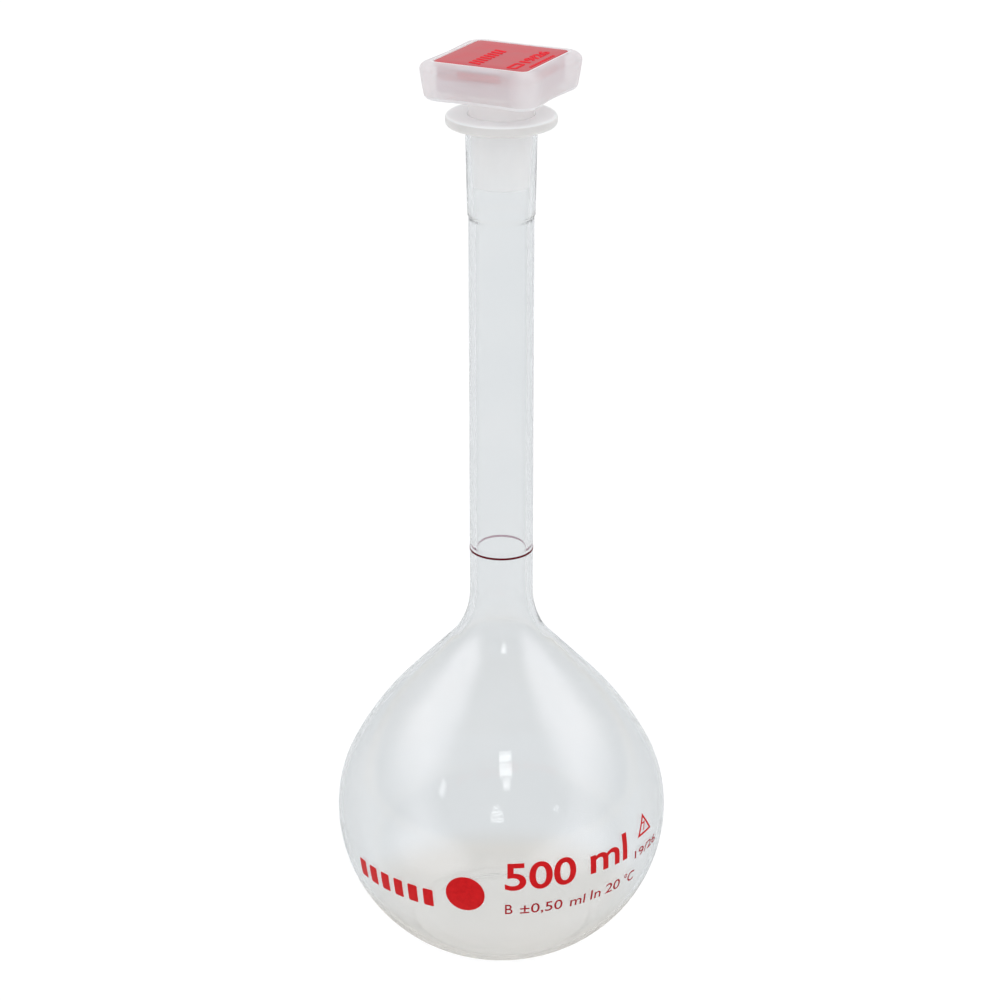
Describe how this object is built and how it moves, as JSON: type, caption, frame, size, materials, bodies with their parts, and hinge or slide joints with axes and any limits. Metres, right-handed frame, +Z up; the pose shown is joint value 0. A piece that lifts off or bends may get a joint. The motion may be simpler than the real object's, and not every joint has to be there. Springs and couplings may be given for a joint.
{
  "type": "volumetric flask",
  "caption": "Clear plastic volumetric flask: onion-shaped bulb on a flat base ring, long narrow neck with a red ring mark, rim flange, and a lift-out square-headed stopper with a red plate.",
  "frame": {"origin": "centre of the base ring, on the plane the flask stands on", "axes": "+Z up the flask's axis, towards the stopper; -Y is the printed front; the square head is turned 26.5 degrees about Z at rest"},
  "size_m": [0.1022, 0.1022, 0.279],
  "materials": {
    "clear_plastic": "clear polymethylpentene, smooth and glossy, very slightly milky",
    "red_ink": "printed dark red ink",
    "milky_plastic": "natural polypropylene, milky, satin",
    "red_plastic": "red polypropylene, smooth satin gloss"
  },
  "bodies": {
    "flask": {"flask_body": "clear_plastic", "ring_mark": "red_ink"},
    "stopper": {"stopper_body": "milky_plastic", "stopper_insert": "red_plastic"}
  },
  "joints": [
    {"name": "stopper_lift", "type": "slide", "parent": "flask", "child": "stopper", "axis": [0, 0, 1], "range_m": [0, 0.045]}
  ]
}
